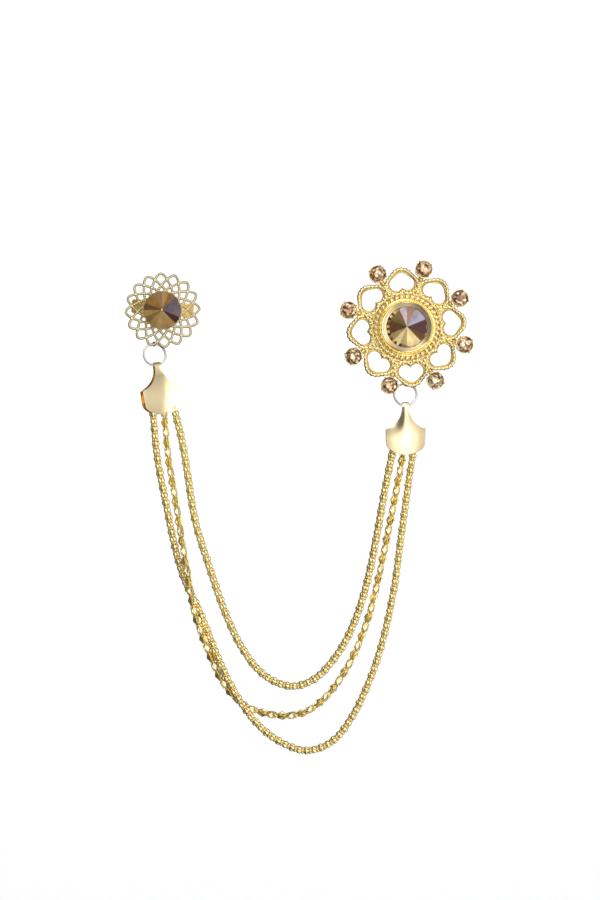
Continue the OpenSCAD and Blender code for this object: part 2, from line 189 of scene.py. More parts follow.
def plateFrom(name, outline, low, high, bevel=0.0, holes=()):
    # flat plate between two heights, cut along an outline with holes
    curve = bpy.data.curves.new(name, 'CURVE')
    curve.dimensions = '2D'
    curve.fill_mode = 'BOTH'
    curve.extrude = (high - low) / 2 - bevel
    curve.bevel_depth = bevel
    curve.bevel_resolution = 1
    curve.offset = -bevel
    for loop in [outline, *holes]:
        addSpline(curve, loop)
    item = bpy.data.objects.new(name, curve)
    intoScene(item)
    onlySelect(item)
    bpy.ops.object.convert(target='MESH')
    item = bpy.context.object
    moved(item, shift(0, 0, (low + high) / 2))
    return tidyShell(item)


def wireAlong(name, path, section, closed=True, radii=(1,)):
    # sweeps a section along a path, its size following the radii over and over
    sectionCurve = bpy.data.curves.new(name + 'Section', 'CURVE')
    addSpline(sectionCurve, section)
    sectionItem = bpy.data.objects.new(name + 'Section', sectionCurve)
    intoScene(sectionItem)
    curve = bpy.data.curves.new(name, 'CURVE')
    curve.dimensions = '3D'
    curve.twist_mode = 'Z_UP'
    curve.bevel_mode = 'OBJECT'
    curve.bevel_object = sectionItem
    curve.use_fill_caps = not closed
    for i, point in enumerate(addSpline(curve, path, closed).points):
        point.radius = radii[i % len(radii)]
    item = bpy.data.objects.new(name, curve)
    intoScene(item)
    onlySelect(item)
    bpy.ops.object.convert(target='MESH')
    item = bpy.context.object
    thrownAway(sectionItem)
    return tidyShell(item)


def circlePoints(radius, sides):
    angles = [math.tau * i / sides for i in range(sides)]
    return [(radius * math.cos(a), radius * math.sin(a)) for a in angles]


def evenly(path, step, closed=True):
    # the same path with points at equal distances
    points = [Vector(p) for p in path] + ([Vector(path[0])] if closed else [])
    lengths = [(b - a).length for a, b in zip(points, points[1:])]
    count = max(4, round(sum(lengths) / step))
    spaced, i, passed = [], 0, 0.0
    for k in range(count + (0 if closed else 1)):
        at = sum(lengths) * k / count
        while i < len(lengths) - 1 and passed + lengths[i] < at:
            passed += lengths[i]
            i += 1
        spaced.append(points[i].lerp(points[i + 1], min(1, (at - passed) / lengths[i])))
    return spaced


def arcPoints(middle, radius, start, end, steps):
    angles = [math.radians(start + (end - start) * i / steps) for i in range(steps + 1)]
    return [(middle[0] + radius * math.cos(a), middle[1] + radius * math.sin(a)) for a in angles]


def outAt(degrees):
    # the direction out from the middle at an angle
    return Vector((math.cos(math.radians(degrees)), math.sin(math.radians(degrees)), 0))


def ball(radius, segments=12, rings=8, poles='Z'):
    bpy.ops.object.select_all(action='DESELECT')
    bpy.ops.mesh.primitive_uv_sphere_add(segments=segments, ring_count=rings, radius=radius)
    item = bpy.context.object
    if poles != 'Z':
        moved(item, turn(90, 'Y' if poles == 'X' else 'X'))
    return item


def bentStrip(name, path, thickness):
    # strip of sheet bent along a path of radius, height and width
    item = outlineMesh(name, [(r, -0.5, h) for r, h, width in path], closed=False)
    editAll(item)
    bpy.ops.mesh.extrude_region_move(TRANSFORM_OT_translate={"value": (0, 1, 0)})
    leaveEdit()
    for vertex in item.data.vertices:
        vertex.co.y *= path[vertex.index % len(path)][2]
    tidyShell(item)
    applyModifier(item, 'SOLIDIFY', thickness=thickness, offset=0, use_even_offset=True)
    return item


def cutBy(item, point, normal, whole=False):
    # cuts off what lies beyond a plane, or with whole only divides the faces along it
    editAll(item)
    bpy.ops.mesh.bisect(plane_co=point, plane_no=Vector(normal).normalized(), use_fill=not whole,
                        clear_outer=not whole, threshold=0.0001)
    leaveEdit()


def addNode(tree, kind, **values):
    node = tree.nodes.new(kind)
    for key, value in values.items():
        if key.startswith('in_'):
            node.inputs[int(key[3:]) if key[3:].isdigit() else key[3:]].default_value = value
        else:
            setattr(node, key, value)
    return node


def rampStops(node, stops, interpolation='LINEAR'):
    ramp = node.color_ramp
    ramp.interpolation = interpolation
    while len(ramp.elements) < len(stops):
        ramp.elements.new(0.5)
    for element, (place, colour) in zip(ramp.elements, stops):
        element.position = place
        element.color = (*colour, 1)


def setInputs(node, values):
    for key, value in values.items():
        node.inputs[key].default_value = value


def newMaterial(name):
    material = bpy.data.materials.new(name)
    material.use_nodes = True
    return material, material.node_tree, material.node_tree.nodes['Principled BSDF']


def makeCastSkin():
    # fine grain and soft waviness of plated metal: puts out a mottle, a roughness and a normal
    group = bpy.data.node_groups.new("castSkin", 'ShaderNodeTree')
    for label in ("Grain", "Relief", "Smoothest", "Roughest"):
        group.interface.new_socket(name=label, in_out='INPUT', socket_type='NodeSocketFloat')
    group.interface.new_socket(name="Mottle", in_out='OUTPUT', socket_type='NodeSocketFloat')
    group.interface.new_socket(name="Roughness", in_out='OUTPUT', socket_type='NodeSocketFloat')
    group.interface.new_socket(name="Normal", in_out='OUTPUT', socket_type='NodeSocketVector')
    link = group.links.new
    given = addNode(group, 'NodeGroupInput')
    out = addNode(group, 'NodeGroupOutput')
    place = addNode(group, 'ShaderNodeTexCoord')
    noise = addNode(group, 'ShaderNodeTexNoise', in_Detail=3.0)
    link(place.outputs['Object'], noise.inputs['Vector'])
    link(given.outputs['Grain'], noise.inputs['Scale'])
    broad = addNode(group, 'ShaderNodeTexNoise', in_Scale=220.0, in_Detail=2.0)
    link(place.outputs['Object'], broad.inputs['Vector'])
    span = addNode(group, 'ShaderNodeMapRange')
    link(broad.outputs['Fac'], span.inputs['Value'])
    setInputs(span, {'From Min': 0.3, 'From Max': 0.7})
    link(given.outputs['Smoothest'], span.inputs['To Min'])
    link(given.outputs['Roughest'], span.inputs['To Max'])
    bump = addNode(group, 'ShaderNodeBump')
    bump.inputs['Distance'].default_value = 0.00004
    link(given.outputs['Relief'], bump.inputs['Strength'])
    link(noise.outputs['Fac'], bump.inputs['Height'])
    link(broad.outputs['Fac'], out.inputs['Mottle'])
    link(span.outputs['Result'], out.inputs['Roughness'])
    link(bump.outputs['Normal'], out.inputs['Normal'])
    return group


castSkin = makeCastSkin()


def goldMaterial(name, bright, shadeTone, roughness, relief, grain, heights=None, highlightTone=None):
    # plated metal with painted light: the shade tone paints shade in the hollows, the bright tone goes on
    # what stands out and the highlight tone paints a highlight on its tips
    mottle = 0.35
    material, tree, shader = newMaterial(name)
    link = tree.links.new
    shader.inputs['Metallic'].default_value = 1.0
    skin = addNode(tree, 'ShaderNodeGroup', node_tree=castSkin)
    setInputs(skin, {'Grain': grain, 'Relief': relief, 'Smoothest': roughness[0], 'Roughest': roughness[1]})
    depth = addNode(tree, 'ShaderNodeMapRange')
    if heights:    # painted shade by height: depth is the distance from the cloth, between two heights, darker nearer the cloth
        place = addNode(tree, 'ShaderNodeTexCoord')
        apart = addNode(tree, 'ShaderNodeSeparateXYZ')
        link(place.outputs['Object'], apart.inputs['Vector'])
        link(apart.outputs['Y'], depth.inputs['Value'])
        setInputs(depth, {'From Min': -heights[0] * millimetre, 'From Max': -heights[1] * millimetre})
    else:          # depth is painted shade kept on the mesh as an attribute, 0 in the hollows
        source = addNode(tree, 'ShaderNodeAttribute', attribute_name="paintedShading")
        link(source.outputs['Fac'], depth.inputs['Value'])
    sway = addNode(tree, 'ShaderNodeMath', operation='MULTIPLY_ADD')
    link(skin.outputs['Mottle'], sway.inputs[0])
    sway.inputs[1].default_value = mottle
    link(depth.outputs['Result'], sway.inputs[2])
    # painted light: the shade tone low on the ramp, then the bright tone, then the highlight tone at the top
    tone = addNode(tree, 'ShaderNodeValToRGB')
    rampStops(tone, [(0.1, shadeTone), (0.75, bright), (1.0, highlightTone or bright)])
    link(sway.outputs['Value'], tone.inputs['Fac'])
    link(tone.outputs['Color'], shader.inputs['Base Color'])
    link(skin.outputs['Roughness'], shader.inputs['Roughness'])
    link(skin.outputs['Normal'], shader.inputs['Normal'])
    return material


def stoneMaterial(name, metallic, roughness, coat, specular, inner=None):
    # foil-backed cut glass: each facet's tone is an attribute holding the glass's colour with painted light,
    # painted reflections and painted shade, with a soft drift inside the facet
    drifts = 0.15
    material, tree, shader = newMaterial(name)
    link = tree.links.new
    setInputs(shader, {'Metallic': metallic, 'Roughness': roughness, 'Specular IOR Level': specular,
                       'Coat Weight': coat, 'Coat Roughness': 0.02})
    facet = addNode(tree, 'ShaderNodeAttribute', attribute_name="facetTone")
    place = addNode(tree, 'ShaderNodeTexCoord')
    drift = addNode(tree, 'ShaderNodeTexNoise', in_Scale=420.0, in_Detail=1.0)
    link(place.outputs['Object'], drift.inputs['Vector'])
    level = addNode(tree, 'ShaderNodeMapRange')
    link(drift.outputs['Fac'], level.inputs['Value'])
    setInputs(level, {'From Min': 0.3, 'From Max': 0.7, 'To Min': 1 - drifts, 'To Max': 1 + drifts})
    tint = addNode(tree, 'ShaderNodeVectorMath', operation='SCALE')
    link(facet.outputs['Color'], tint.inputs['Vector'])
    link(level.outputs['Result'], tint.inputs['Scale'])
    link(tint.outputs['Vector'], shader.inputs['Base Color'])
    if inner:      # painted glints: the back facets seen through the glass, painted as small patches of light and dark
        cells = addNode(tree, 'ShaderNodeTexVoronoi', in_Scale=inner)
        link(place.outputs['Object'], cells.inputs['Vector'])
        apart = addNode(tree, 'ShaderNodeSeparateXYZ')
        link(cells.outputs['Color'], apart.inputs['Vector'])
        glintPatches = addNode(tree, 'ShaderNodeValToRGB')
        rampStops(glintPatches, [(0.0, (0.12, 0.07, 0.03)), (0.25, (0.50, 0.34, 0.18)), (0.45, (1.0, 0.78, 0.56)),
                            (0.66, (1.0, 0.92, 0.76)), (0.88, (1.3, 1.25, 1.15))], 'CONSTANT')
        link(apart.outputs['X'], glintPatches.inputs['Fac'])
        blend = addNode(tree, 'ShaderNodeMix', data_type='RGBA', blend_type='MULTIPLY')
        blend.inputs['Factor'].default_value = 0.9
        link(tint.outputs['Vector'], blend.inputs[6])
        link(glintPatches.outputs['Color'], blend.inputs[7])
        link(blend.outputs[2], shader.inputs['Base Color'])
    return material


# bright tone and painted shade tone, smoothest and roughest, relief, grain; the heights span the painted
# shade
castGold = goldMaterial("castGold", (1.0, 0.85, 0.47), (0.54, 0.35, 0.06), (0.08, 0.2), 0.2, 1800,
                        heights=(1.95, 2.6))
satinGold = goldMaterial("satinGold", (0.95, 0.78, 0.48), (0.85, 0.62, 0.30), (0.38, 0.48), 0.3, 2600,
                         heights=(3.6, 5.0))
filigreeGold = goldMaterial("filigreeGold", (1.0, 0.90, 0.58), (0.34, 0.25, 0.08), (0.10, 0.2), 0.2, 2600,
                            heights=(1.15, 1.5))
sheetGold = goldMaterial("sheetGold", (1.0, 0.82, 0.50), (0.98, 0.76, 0.42), (0.10, 0.16), 0.03, 2200,
                         heights=(0.0, 5.0))
# painted shade: a darker copy of the sheet gold, for the caps' cut edges
shadedEdgeGold = goldMaterial("shadedEdgeGold", (0.46, 0.36, 0.20), (0.38, 0.29, 0.16), (0.25, 0.4), 0.1, 2200,
                        heights=(0.0, 5.0))
pinGold = goldMaterial("pinGold", (0.95, 0.62, 0.20), (0.70, 0.40, 0.10), (0.16, 0.3), 0.15, 1500,
                       heights=(-1.0, 0.9))
ringSilver = goldMaterial("ringSilver", (0.82, 0.81, 0.74), (0.70, 0.69, 0.62), (0.32, 0.42), 0.05, 1500,
                          heights=(0.0, 3.0))
# the chain's painted shade and painted highlight come from each link's painted-shading attribute
chainGold = goldMaterial("chainGold", (1.0, 0.84, 0.36), (0.80, 0.50, 0.08), (0.10, 0.2), 0.1, 1600,
                         highlightTone=(1.0, 0.88, 0.50))
brownStone = stoneMaterial("brownStone", metallic=0.3, roughness=0.12, coat=0.15, specular=0.2)
champagneStone = stoneMaterial("champagneStone", metallic=0.4, roughness=0.08, coat=0.35, specular=0.4,
                               inner=1500)
print("materials ready")


largeBrooch = {
    "hearts": 8, "firstHeart": -84, "foot": 10.1, "halfWidth": 5.4, "notch": 1.0, "tipRadius": 3.8,
    "reach": 18.7, "wire": 1.6, "sheetTop": 1.95, "ropeInset": 0.45, "ropeCore": 0.5, "ropePitch": 1.18,
    "strand": (0.95, 0.40, 0.70), "strandLean": 34, "discRadius": 11.2, "pavilionHole": 1.9,
    "inside": 0.08, "bevel": 0.12,       # how far the casting keeps within its outline, and its bevel
    "beadRing": 9.65, "beads": 36, "bead": (0.62, 0.92, 0.72), "beadLean": 32, "beadHeight": 2.2,
    "grainRing": 10.85, "grains": 60, "grain": 0.32, "grainTurn": 2, "grainHeight": 2.15,
    "neck": 0.9, "neckTop": 1.6, "waist": 0.8, "waistAt": 14.5, "knob": 0.66,
    "knobs": [(0, 11.7, 1.1), (0, 13.2, 1.05), (0.85, 12.5, 0.6), (-0.85, 12.5, 0.6), (1.2, 11.6, 0.85),
              (-1.2, 11.6, 0.85), (2.2, 11.3, 0.6), (-2.2, 11.3, 0.6), (0, 14.4, 0.8), (0, 15.5, 0.7)],
    "cupAt": 18.9, "cupRadius": 2.75, "cupWall": 0.2, "cupTop": 3.5, "cupSeat": 2.6, "cupFloor": 1.5,
    "prong": 0.3, "prongShape": (1, 1.1, 2.4), "prongDrop": 0.35,
    "bezelRadius": 8.0, "bezelTop": 5.0, "bezelStep": 0.6, "bezelRim": 0.5, "seatRadius": 6.4,
    "eyeletAt": -17.62,
}


def heartOutline(inset, steps=14):
    # the lobes' radius follows from the heart's half width and the height of its notch
    b = largeBrooch
    half = b["halfWidth"] - inset
    lobe = half + b["notch"] - math.sqrt(2 * half * b["notch"])
    tip = b["tipRadius"] - inset
    lobeMiddle, tipMiddle = (half - lobe, b["foot"] + inset + lobe), (0, b["reach"] - b["tipRadius"])
    way = (tipMiddle[0] - lobeMiddle[0], tipMiddle[1] - lobeMiddle[1])
    lean = math.degrees(math.atan2(way[1], way[0]) - math.acos((lobe - tip) / math.hypot(*way)))
    notch = math.degrees(math.asin((half - lobe) / lobe))
    right = arcPoints(lobeMiddle, lobe, -90 - notch, lean, steps) + arcPoints(tipMiddle, tip, lean, 90, 8)
    return right + [(-x, y) for x, y in right[-2:0:-1]]


def makeLargeRosette():
    b = largeBrooch
    parts = []
    hearts = [b["firstHeart"] - 90 + k * 360 / b["hearts"] for k in range(b["hearts"])]
    gaps = [a + 180 / b["hearts"] for a in hearts]

    # one heart: flat casting, and a rope on it, of slanting strands laid along a wire
    casting = plateFrom("heartCasting", heartOutline(b["inside"]), backOfCastings, b["sheetTop"], b["bevel"],
                        [heartOutline(b["wire"] - b["inside"])])
    line = [(x, y, 0) for x, y in heartOutline(b["ropeInset"], 30)]
    wire = wireAlong("heartWire", evenly(line, 0.5), circlePoints(b["ropeCore"], 10))
    places = evenly(line, b["ropePitch"])
    strand = ball(1, 12, 7)
    moved(strand, spread(*b["strand"]))
    rope = [wire]
    for place, after in zip(places, places[1:] + places[:1]):
        along = math.degrees(math.atan2(after.y - place.y, after.x - place.x))
        rope.append(copyOf(strand, shift(*place) @ turn(along + b["strandLean"])))
    thrownAway(strand)
    rope = joined("heartRope", rope)
    moved(rope, shift(0, 0, b["sheetTop"] - 0.05))
    heart = joined("heart", [casting, rope])
    parts += [copyOf(heart, turn(a)) for a in hearts]
    thrownAway(heart)

    # disc under the beads and the bezel with its satin slope
    r, top, disc = b["bezelRadius"], b["bezelTop"], b["discRadius"]
    step, rim, seat = r + b["bezelStep"], r - b["bezelRim"], b["seatRadius"]
    profile = [(b["pavilionHole"], backOfCastings), (disc - 0.1, backOfCastings),
               (disc, backOfCastings + 0.1),
               (disc, 1.7), (disc - 0.3, 2.1), (disc - 0.6, 2.15), (disc - 0.9, 2.0), (b["beadRing"], 1.92),
               (step + 0.45, 2.0), (step + 0.35, 2.4), (step + 0.22, 2.45), (step + 0.1, 2.3),
               (step - 0.2, 2.42), (r + 0.18, 2.8), (r, 3.3), (r, top - 0.3), (r - 0.1, top - 0.08),
               (r - 0.25, top), (rim, top - 0.1), (rim - 0.1, top - 0.25), (seat + 0.12, 4.35),
               (seat, 4.25), (seat, 3.8), (b["pavilionHole"], 1.4)]
    parts.append(spunProfile("bezel", profile, 128))

    # beads round the bezel, each a little oval and set askew, so that they read as rope
    bead = ball(1, 14, 9)
    moved(bead, turn(b["beadLean"]) @ spread(*b["bead"]))
    parts += [copyOf(bead, turn(360 * k / b["beads"]) @ shift(b["beadRing"], 0, b["beadHeight"]))
              for k in range(b["beads"])]
    thrownAway(bead)
    grain = ball(b["grain"], 8, 6)
    parts += [copyOf(grain, turn(360 * k / b["grains"] + b["grainTurn"])
                     @ shift(b["grainRing"], 0, b["grainHeight"]))
              for k in range(b["grains"])]

    # clusters of balls in the spandrels, with a leaf of wire up each neck
    knob = ball(b["knob"], 12, 8)
    wide, slim = b["neck"], b["neck"] * b["waist"]
    low, high = b["beadRing"], b["cupAt"] - 1
    neck = plateFrom("neck", [(-wide, low), (wide, low), (slim, b["waistAt"]), (wide, high), (-wide, high),
                              (-slim, b["waistAt"])], backOfCastings, b["neckTop"], b["bevel"])
    for a in gaps:
        parts.append(copyOf(neck, turn(a)))
        parts += [copyOf(knob, turn(a) @ shift(x, y, b["beadHeight"]) @ spread(size, size, size))
                  for x, y, size in b["knobs"]]
    thrownAway(knob, grain, neck)

    # cups with four prongs
    outer, high, seat, floor = b["cupRadius"], b["cupTop"], b["cupSeat"], b["cupFloor"]
    inner = outer - b["cupWall"]
    cup = spunProfile("cup", [(0, backOfCastings), (outer - 0.2, backOfCastings),
                              (outer, backOfCastings + 0.2),
                              (outer, high - 0.08), (outer - 0.08, high), (inner + 0.05, high),
                              (inner, high - 0.06), (inner, seat), (0.9, floor), (0, floor)], 40)
    prong = ball(b["prong"], 10, 8)
    moved(prong, spread(*b["prongShape"]))
    prongs = [copyOf(prong, turn(45 + 90 * k) @ shift(outer - 0.02, 0, high - b["prongDrop"]))
              for k in range(4)]
    thrownAway(prong)
    cup = joined("cup", [cup] + prongs)
    parts += [copyOf(cup, turn(a) @ shift(0, b["cupAt"], 0)) for a in gaps]
    thrownAway(cup)

    parts.append(makeEyelet(largeRing[0], b["eyeletAt"], 0))
    slope = (satinGold, lambda face: face.center.z > 4.2
             and b["seatRadius"] + 0.05 < math.hypot(face.center.x, face.center.y) < rim)
    placedAs("largeRosette", parts, worn(), castGold, ["large_rosette"], band=slope)


def makeEyelet(x, y, turned):
    # small barrel on a brooch's back, with rounded lips
    profile = [(0.48, -0.3), (0.54, -0.35), (0.72, -0.35), (0.78, -0.29),
               (0.78, 0.29), (0.72, 0.35), (0.54, 0.35), (0.48, 0.3)]
    eyelet = spunProfile("eyelet", profile, 32, axis=(1, 0, 0))
    return moved(eyelet, shift(x, y, eyeletDepth) @ turn(turned, 'Y'))


stoneTones = {
    "honey": (0.50, 0.36, 0.13), "amber": (0.42, 0.27, 0.09), "umber": (0.17, 0.08, 0.035),
    "maroon": (0.075, 0.022, 0.020), "olive": (0.26, 0.17, 0.06), "rose": (0.42, 0.25, 0.19),
    "gilt": (1.0, 0.78, 0.38), "bark": (0.30, 0.17, 0.06), "tan": (0.50, 0.36, 0.15),
    "lilac": (0.52, 0.40, 0.44), "ice": (0.50, 0.48, 0.66), "cream": (0.90, 0.80, 0.62),
    "slate": (0.15, 0.11, 0.13), "bronze": (0.36, 0.20, 0.05), "flame": (1.0, 0.52, 0.12),
}


def paintFacets(item, toneOf):
    layer = item.data.color_attributes.new(name="facetTone", type='FLOAT_COLOR', domain='CORNER')
    for face in item.data.polygons:
        colour = toneOf(face)
        for i in face.loop_indices:
            layer.data[i].color = (*colour, 1)


pointedCut = {
    "facets": 16, "rimDrop": 0.04, "rimLean": (1.15, 0.62), "table": 0.08,
    "edge": 0.87, "rim": 0.8,       # parts of the radius past which the sparks and the rim facets lie
    # tones of the painted reflections on the edge, and of the painted light and shade on the rim facets
    "sparks": ("flame", "umber", "gilt", "maroon", "amber", "umber"),
    "rimTones": ("amber", "umber", "honey", "olive"),
}


def pointedStone(name, radius, culet, culetRadius, girdle, girdleTop, apex, wedges, sparks=()):
    # a rod of glass cut by planes: sixteen pointed facets, sixteen rim facets and a cut underside
    p = pointedCut
    bpy.ops.object.select_all(action='DESELECT')
    bpy.ops.mesh.primitive_cylinder_add(vertices=64, radius=radius, depth=apex - culet,
                                        location=(0, 0, 0), end_fill_type='NGON')
    stone = bpy.context.object
    stone.name = name
    moved(stone, shift(0, 0, (apex + culet) / 2))
    rise, step = apex - girdleTop, 360 / p["facets"]
    up = Vector((0, 0, 1))
    for k in range(p["facets"]):
        out = outAt(step * k + step / 2)
        cutBy(stone, up * apex, out * rise + up * radius)
        cutBy(stone, up * girdle + out * radius, out * (girdle - culet) - up * (radius - culetRadius))
    for k in range(p["facets"]):
        out = outAt(step * k)
        cutBy(stone, up * (girdleTop - p["rimDrop"]) + out * radius,
              out * p["rimLean"][0] * rise + up * (radius * p["rimLean"][1]))
    cutBy(stone, up * (apex - p["table"]), up)
    tidyShell(stone)
    for k, a in enumerate(sparks):      # painted reflection: the setting's gold, painted into the edge as short sparks
        out = outAt(a)
        cutBy(stone, (0, 0, 0), (-out.y, out.x, 0), whole=True)
        if k % 3 == 1:
            cutBy(stone, out * radius * p["edge"], out, whole=True)

    def toneOf(face):
        middle = face.center
        a = math.degrees(math.atan2(middle.y, middle.x)) % 360
        reach = math.hypot(middle.x, middle.y)
        if face.normal.z < 0.2:         # underside
            return "umber"
        if reach < 0.1:                 # table, cream as a painted highlight
            return "cream"
        if sparks and sparks[0] < a < sparks[-1] and reach > radius * p["edge"]:
            return p["sparks"][int((a - sparks[0]) // (sparks[1] - sparks[0])) % len(p["sparks"])]
        if reach > radius * p["rim"]:   # rim facets alternate in painted light and shade, as the light they catch
            return p["rimTones"][int(a // (step / 2)) % len(p["rimTones"])]
        return wedges[int(a // step) % p["facets"]]

    paintFacets(stone, lambda face: stoneTones[toneOf(face)])
    return stone


def makeLargeStone():
    # the sixteen facets' tones: the stone's own browns with painted shade and painted reflections in them
    wedges = ["maroon", "ice", "lilac", "rose", "lilac", "olive", "olive", "umber",
              "umber", "honey", "gilt", "tan", "gilt", "gilt", "umber", "maroon"]
    stone = pointedStone("largeStone", 6.3, 1.5, 1.6, 3.9, 4.3, 6.3, wedges, range(126, 262, 8))
    placedAs("largeStone", [stone], worn(), brownStone, ["large_stone"], 1)


def makeSmallStone():
    # the sixteen facets' tones: the stone's own browns with painted shade and painted light in them
    wedges = ["slate", "slate", "bark", "bronze", "umber", "bronze", "bronze", "umber",
              "amber", "bark", "amber", "amber", "bark", "amber", "maroon", "slate"]
    stone = pointedStone("smallStone", 5.9, 1.7, 3.4, 2.6, 3.0, 5.0, wedges)
    placedAs("smallStone", [stone], worn(*smallMiddle), brownStone, ["small_stone"], 1)


rimStone = {
    "radius": 2.45, "culet": 1.6, "girdle": 3.1, "top": 4.05, "under": (1.5, 1.95),
    # rows of facets: turn, distance from the middle, height over the girdle and lean
    "rows": [(0, 0.98, 0.15, 42), (22.5, 1.0, 0.15, 62), (22.5, 0.80, 0.62, 27), (0, 0.5, 0.9, 12)],
    "glintTones": [(0.96, 0.84, 0.68), (0.96, 0.78, 0.57), (0.76, 0.56, 0.38), (0.48, 0.31, 0.19),
              (0.34, 0.21, 0.13), (0.96, 0.88, 0.76)],
}


def makeRimStones():
    # one cut stone with a table and four rows of facets, copied to the eight cups
    b, s = largeBrooch, rimStone
    up = Vector((0, 0, 1))
    bpy.ops.object.select_all(action='DESELECT')
    bpy.ops.mesh.primitive_cylinder_add(vertices=32, radius=s["radius"], depth=s["top"] - s["culet"],
                                        end_fill_type='NGON')
    master = bpy.context.object
    moved(master, shift(0, 0, (s["top"] + s["culet"]) / 2))
    for k in range(8):
        for offset, far, rise, lean in s["rows"]:
            out, tilt = outAt(45 * k + offset), math.radians(lean)
            at = out * s["radius"] * far + up * (s["girdle"] + rise)
            cutBy(master, at, out * math.sin(tilt) + up * math.cos(tilt))
        out = outAt(45 * k + 22.5)
        cutBy(master, out * s["radius"] + up * s["girdle"], out * s["under"][0] - up * s["under"][1])
    tidyShell(master)
    random.seed(5)
    for k in range(b["hearts"]):
        a = b["firstHeart"] - 90 + (k + 1.5) * 360 / b["hearts"]
        stone = copyOf(master, turn(a) @ shift(0, b["cupAt"], 0) @ turn(random.uniform(0, 45)))
        # painted sparkle: each facet takes a light or dark tone at random, as painted light and shade
        paintFacets(stone, lambda face: random.choice(s["glintTones"]))
        placedAs(f"rimStone{k + 1}", [stone], worn(), champagneStone,
                 [f"rim_stone_{k + 1}"], 1)
    thrownAway(master)


smallBrooch = {
    "petals": 16, "firstPetal": 3, "tipAt": 9.1, "tipRadius": 2.6, "tipOff": 0.84, "sideRadius": 16.0,
    "join": 57, "innerEnd": 4.9, "innerSide": -1.2,
    "bandWidth": 0.79, "bandHeight": 0.42, "wire": 0.26, "wireHeight": 1.32, "dot": 0.62,
    "beads": [0.5, 0.98, 1.15, 0.98], "collet": 5.4, "colletTop": 2.46, "seat": (3.4, 1.58),
    "grains": 48, "grain": 0.26, "grainOut": 0.25, "grainHeight": 1.45,
    "eyeletUp": 3.381,        # the eyelet's height over its ring's middle
}


def makeSmallFiligree():
    s = smallBrooch
    join = math.radians(s["join"])
    joint = Vector((s["tipRadius"] * math.sin(join) - s["tipOff"],
                    s["tipAt"] + s["tipRadius"] * math.cos(join)))
    middle = joint - s["sideRadius"] * Vector((math.sin(join), math.cos(join)))
    side = []
    for i in range(40):     # inwards from the tip arc until the wire is under the stone
        a = join + i * 0.016
        point = middle + s["sideRadius"] * Vector((math.sin(a), math.cos(a)))
        if point.length < s["innerEnd"] or point.x < s["innerSide"]:
            break
        side.append((point.x, point.y))
    point = math.degrees(math.acos(s["tipOff"] / s["tipRadius"]))
    tip = arcPoints((-s["tipOff"], s["tipAt"]), s["tipRadius"], 90 - s["join"], point, 8)
    half = side[::-1] + tip
    path = half + [(-x, y) for x, y in half[-2::-1]]
    line = [(x, y, 0) for x, y in path]
    w, h = s["bandWidth"] / 2, s["bandHeight"] / 2
    section = [(-w, -h), (w, -h), (w, -h * 0.3), (w * 0.3, h), (-w * 0.3, h), (-w, -h * 0.3)]
    band = wireAlong("petalBand", evenly(line, 0.4, closed=False), section, False)
    moved(band, shift(0, 0, backOfCastings + h))
    beaded = wireAlong("petalBeads", evenly(line, s["dot"] / len(s["beads"]), closed=False),
                       circlePoints(s["wire"], 8), False, s["beads"])
    moved(beaded, shift(0, 0, s["wireHeight"]))
    petal = joined("petal", [band, beaded])
    parts = [copyOf(petal, turn(s["firstPetal"] - 90 + 360 * k / s["petals"])) for k in range(s["petals"])]
    thrownAway(petal)
    r, top, (seat, floor) = s["collet"], s["colletTop"], s["seat"]
    parts.append(spunProfile("collet", [(0, backOfCastings), (r - 0.2, backOfCastings), (r, 1.1), (r, 2.0),
                                        (r - 0.08, top - 0.06), (r - 0.2, top), (seat, floor),
                                        (0, floor)], 64))
    # a ring of fine grains where the stone meets the lattice
    grain = ball(s["grain"], 8, 6)
    parts += [copyOf(grain, turn(360 * k / s["grains"]) @ shift(r + s["grainOut"], 0, s["grainHeight"]))
              for k in range(s["grains"])]
    thrownAway(grain)
    parts.append(makeEyelet(smallRing[0], smallRing[1] + s["eyeletUp"], smallTurn))
    placedAs("smallFiligree", parts, worn(*smallMiddle), filigreeGold, ["small_filigree"])


barPin = {
    "length": 19.5, "width": 4.6, "thick": 0.8, "corner": 0.8, "bevel": 0.12,
    "needleOff": 2.3, "needle": 0.35,
    "blockX": 8.35, "blockRadius": 0.8, "blockFoot": -2.2, "blockHalf": 1.0, "lift": 0.2,
    "smallUp": 0.6, "smallSlant": 5,
}


def makeBarPin(name, node, middle, slant=0):
    p = barPin
    halfLong, halfWide = p["length"] / 2 - p["corner"], p["width"] / 2 - p["corner"]
    outline = []
    for sx, sy, start in ((1, -1, -90), (1, 1, 0), (-1, 1, 90), (-1, -1, 180)):
        outline += arcPoints((sx * halfLong, sy * halfWide), p["corner"], start, start + 90, 5)
    parts = [plateFrom("plate", outline, 0, p["thick"], p["bevel"])]
    r, foot, half = p["blockRadius"], p["blockFoot"], p["blockHalf"]
    for side in (-1, 1):     # folded block with a lip on each side
        block = plateFrom("block", arcPoints((0, 0), r, 0, 180, 10) + [(-r, foot), (r, foot)], -half, half,
                          p["bevel"])
        stand = shift(side * p["blockX"], 0, -p["needleOff"] + p["lift"]) @ turn(-90, 'X')
        parts.append(moved(block, stand))
    # the needle: a steady rod that tapers to a point in the catch
    reach = p["blockX"]
    needle = spunProfile("needle", [(0, -reach), (p["needle"], -reach), (p["needle"], reach - 4),
                                    (0.2, reach - 1), (0.06, reach + 0.3), (0, reach + 0.4)],
                         16, axis=(1, 0, 0), closed=False)
    parts.append(moved(needle, shift(0, 0, -p["needleOff"])))
    placedAs(name, parts, worn(*middle) @ turn(-slant), pinGold, [node])


def ringFrame(x, z, turned):
    # frame of a jump ring's top, from which the ring leans off the cloth
    return shift(x, -eyeletDepth, z + ringRise) @ turn(turned)


